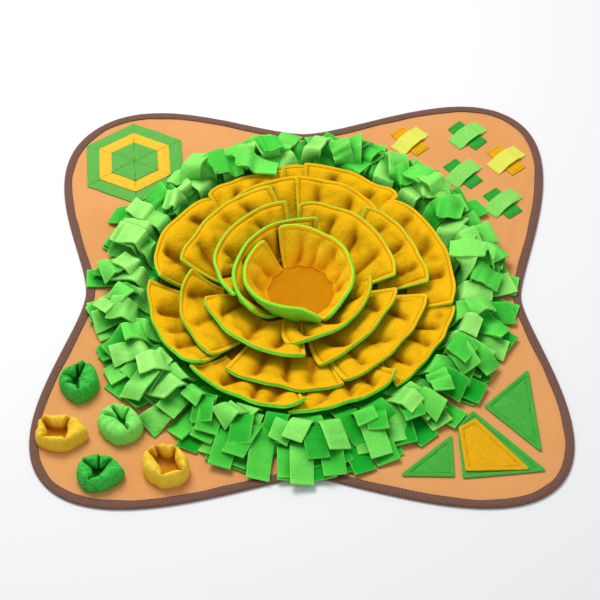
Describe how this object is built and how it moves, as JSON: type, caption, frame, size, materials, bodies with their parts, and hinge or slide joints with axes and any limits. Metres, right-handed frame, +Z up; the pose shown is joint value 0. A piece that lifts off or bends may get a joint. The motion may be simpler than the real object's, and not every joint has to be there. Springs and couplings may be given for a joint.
{
  "type": "snuffle mat",
  "caption": "Cloth foraging mat for a dog: a bound, lobed panel with a rosette of gathered petals around a cup, a ring of fleece strips, pouches and felt patches.",
  "frame": {"origin": "middle of the mat's outline on the surface that it lies on", "axes": "+Z up from the surface, +Y towards the hexagon and the crosses, +X towards the crosses and the triangles"},
  "size_m": [0.696, 0.7012, 0.0607],
  "materials": {
    "panel_cloth": "matt woven cloth, light tan",
    "binding_tape": "soft satin tape, dark brown",
    "petal_fleece": "matt fleece, amber with a lime underside",
    "strip_fleece": "matt fleece in three greens",
    "green_felt": "matt felt, green",
    "amber_felt": "matt felt, amber",
    "lemon_felt": "matt felt, lemon yellow",
    "lime_felt": "matt felt, lime green",
    "leaf_felt": "matt felt, dark green",
    "green_fleece": "matt fleece, mid green",
    "amber_fleece": "matt fleece, amber",
    "leaf_fleece": "matt fleece, dark green"
  },
  "bodies": {
    "root": {"panel": "panel_cloth", "binding": "binding_tape", "cup_floor": "petal_fleece", "petal_1a": "petal_fleece", "petal_1b": "petal_fleece", "petal_2a": "petal_fleece", "petal_2b": "petal_fleece", "petal_3a": "petal_fleece", "petal_3b": "petal_fleece", "petal_3c": "petal_fleece", "petal_3d": "petal_fleece", "petal_4a": "petal_fleece", "petal_4b": "petal_fleece", "petal_4c": "petal_fleece", "petal_4d": "petal_fleece", "petal_4e": "petal_fleece", "petal_4f": "petal_fleece", "petal_4g": "petal_fleece", "petal_5a": "petal_fleece", "petal_5b": "petal_fleece", "petal_5c": "petal_fleece", "petal_5d": "petal_fleece", "petal_5e": "petal_fleece", "petal_5f": "petal_fleece", "petal_5g": "petal_fleece", "petal_5h": "petal_fleece", "petal_5i": "petal_fleece", "fringe_01": "strip_fleece", "fringe_02": "strip_fleece", "fringe_03": "strip_fleece", "fringe_04": "strip_fleece", "fringe_05": "strip_fleece", "fringe_06": "strip_fleece", "fringe_07": "strip_fleece", "fringe_08": "strip_fleece", "fringe_09": "strip_fleece", "fringe_10": "strip_fleece", "hexagon_outer": "green_felt", "hexagon_middle": "amber_felt", "hexagon_inner": "green_felt", "cross_1_lower": "amber_felt", "cross_1_upper": "lemon_felt", "cross_2_lower": "leaf_felt", "cross_2_upper": "lime_felt", "cross_3_lower": "amber_felt", "cross_3_upper": "lemon_felt", "cross_4_lower": "leaf_felt", "cross_4_upper": "lime_felt", "cross_5_lower": "leaf_felt", "cross_5_upper": "lime_felt", "pouch_1": "leaf_fleece", "pouch_2": "amber_fleece", "pouch_3": "green_fleece", "pouch_4": "leaf_fleece", "pouch_5": "amber_fleece", "triangle_1": "green_felt", "triangle_2": "green_felt", "triangle_3": "green_felt", "triangle_4": "amber_felt"}
  },
  "joints": []
}
